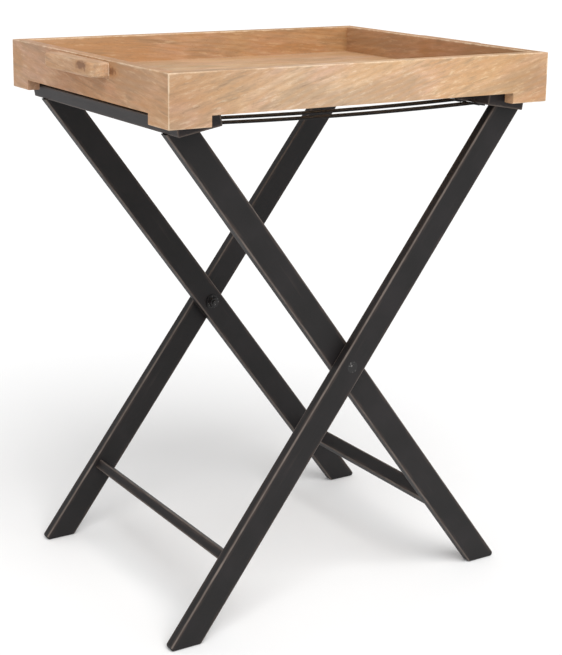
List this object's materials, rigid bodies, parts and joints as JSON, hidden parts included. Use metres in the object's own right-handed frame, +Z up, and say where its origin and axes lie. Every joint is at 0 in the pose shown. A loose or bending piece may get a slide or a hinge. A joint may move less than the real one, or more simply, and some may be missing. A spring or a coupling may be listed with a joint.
{
  "type": "folding tray table",
  "caption": "Loose mitred wooden tray with side handles and corner feet, resting on a black X-shaped folding stand held open by webbing straps.",
  "frame": {"origin": "on the floor under the middle of the tray, at the bottom centre of the whole table's box", "axes": "+X along the tray's long side towards the top of the outer leg frame, -Y the front, +Z up"},
  "size_m": [0.596, 0.45, 0.7105],
  "materials": {
    "mango_wood": "waxed mango wood, satin",
    "black_wood": "black painted hardwood, satin, edges rubbed brown",
    "black_steel": "black painted bolts, nuts and washers, satin",
    "zinc_steel": "zinc-plated steel",
    "webbing": "black woven webbing"
  },
  "bodies": {
    "outer_frame": {"outer_leg_front": "black_wood", "outer_leg_back": "black_wood", "outer_top_rail": "black_wood", "outer_stretcher": "black_wood", "outer_rail_screws": "zinc_steel", "outer_strap_tacks": "zinc_steel", "pivot_bolts": "black_steel", "pivot_spacers": "black_steel", "pivot_washers": "black_steel", "pivot_nuts": "black_steel", "strap_1": "webbing", "strap_2": "webbing", "strap_3": "webbing", "strap_4": "webbing"},
    "inner_frame": {"inner_leg_front": "black_wood", "inner_leg_back": "black_wood", "inner_top_rail": "black_wood", "inner_stretcher": "black_wood", "inner_rail_screws": "zinc_steel", "inner_strap_tacks": "zinc_steel"},
    "tray": {"tray_front_board": "mango_wood", "tray_back_board": "mango_wood", "tray_left_board": "mango_wood", "tray_right_board": "mango_wood", "tray_bottom_panel": "mango_wood", "handle_left": "mango_wood", "handle_right": "mango_wood", "corner_splines": "mango_wood", "handle_dowels": "mango_wood"}
  },
  "joints": [
    {"name": "stand_fold", "type": "hinge", "parent": "outer_frame", "child": "inner_frame", "pos_m": [0, 0, 0.3225], "axis": [0, 1, 0], "range_deg": [0, 60], "deforming": ["strap_1", "strap_2", "strap_3", "strap_4"]},
    {"name": "tray_lift", "type": "slide", "parent": "outer_frame", "child": "tray", "axis": [0, 0, 1], "range_m": [0, 0.4]}
  ],
  "couplings": [
    {"joint": "tray_lift", "follows": "stand_fold", "m_per_rad": 0.35}
  ]
}
